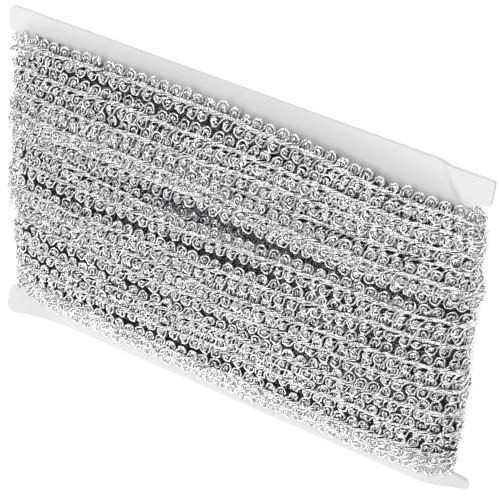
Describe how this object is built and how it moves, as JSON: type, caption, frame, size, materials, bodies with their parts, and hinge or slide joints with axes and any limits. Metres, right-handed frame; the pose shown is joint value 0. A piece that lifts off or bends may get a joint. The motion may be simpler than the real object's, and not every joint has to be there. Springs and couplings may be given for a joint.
{
  "type": "wavy lace trim wound on a card",
  "caption": "Silver scroll braid lace trim wound in shingled turns round a notched white card, lying on its back",
  "frame": {"origin": "on the surface it lies on, under the centre of its bounding box", "axes": "X along the card's long side, Y up the card's face, Z out of the face"},
  "size_m": [0.2041, 0.1345, 0.0199],
  "materials": {
    "card": "smooth white coated paperboard",
    "braid": "metallic silver yarn braided in small scrolls, bright and sparkling"
  },
  "bodies": {
    "root": {"card": "card", "wound_trim": "braid"}
  },
  "joints": []
}
